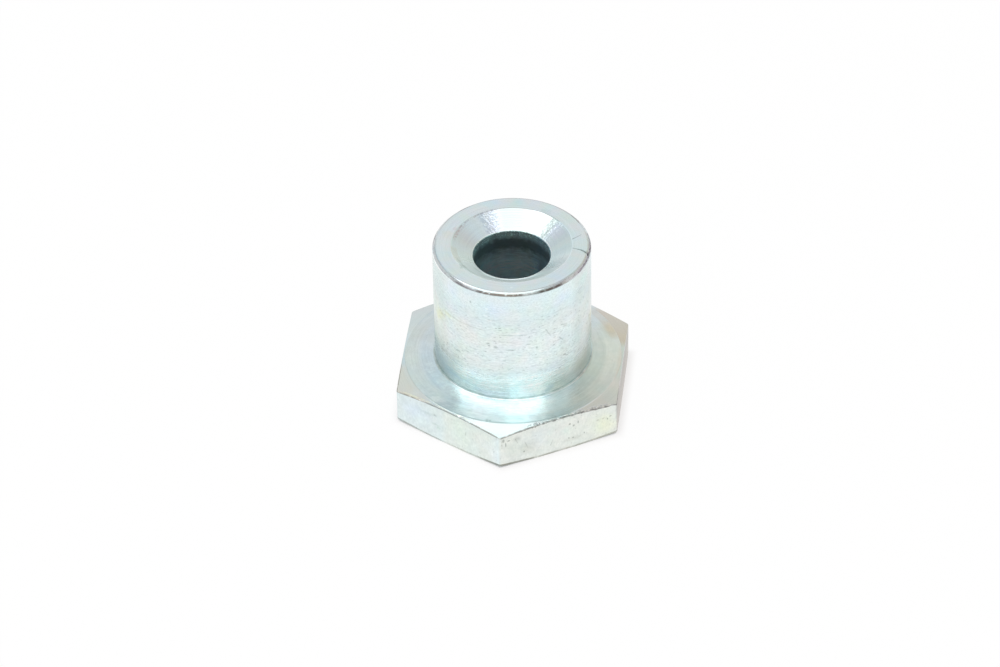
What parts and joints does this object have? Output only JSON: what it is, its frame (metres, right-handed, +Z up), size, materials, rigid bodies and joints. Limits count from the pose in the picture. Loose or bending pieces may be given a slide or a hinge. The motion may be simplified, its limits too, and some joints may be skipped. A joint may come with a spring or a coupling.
{
  "type": "hex flange bushing",
  "caption": "Zinc-plated steel bushing: a round barrel on a hexagonal flange, with a through bore and a wide countersink at the top.",
  "frame": {"origin": "centre of the flange's flat underside, on the bore's axis", "axes": "+Z up the bore from the flange to the countersunk end; two corners of the hexagon lie on the Y axis and two flats face +X and -X"},
  "size_m": [0.027, 0.031, 0.0223],
  "materials": {
    "zinc_plated_steel": "bright blue-white zinc plate over fine turning marks"
  },
  "bodies": {
    "root": {"hex_bushing": "zinc_plated_steel"}
  },
  "joints": []
}
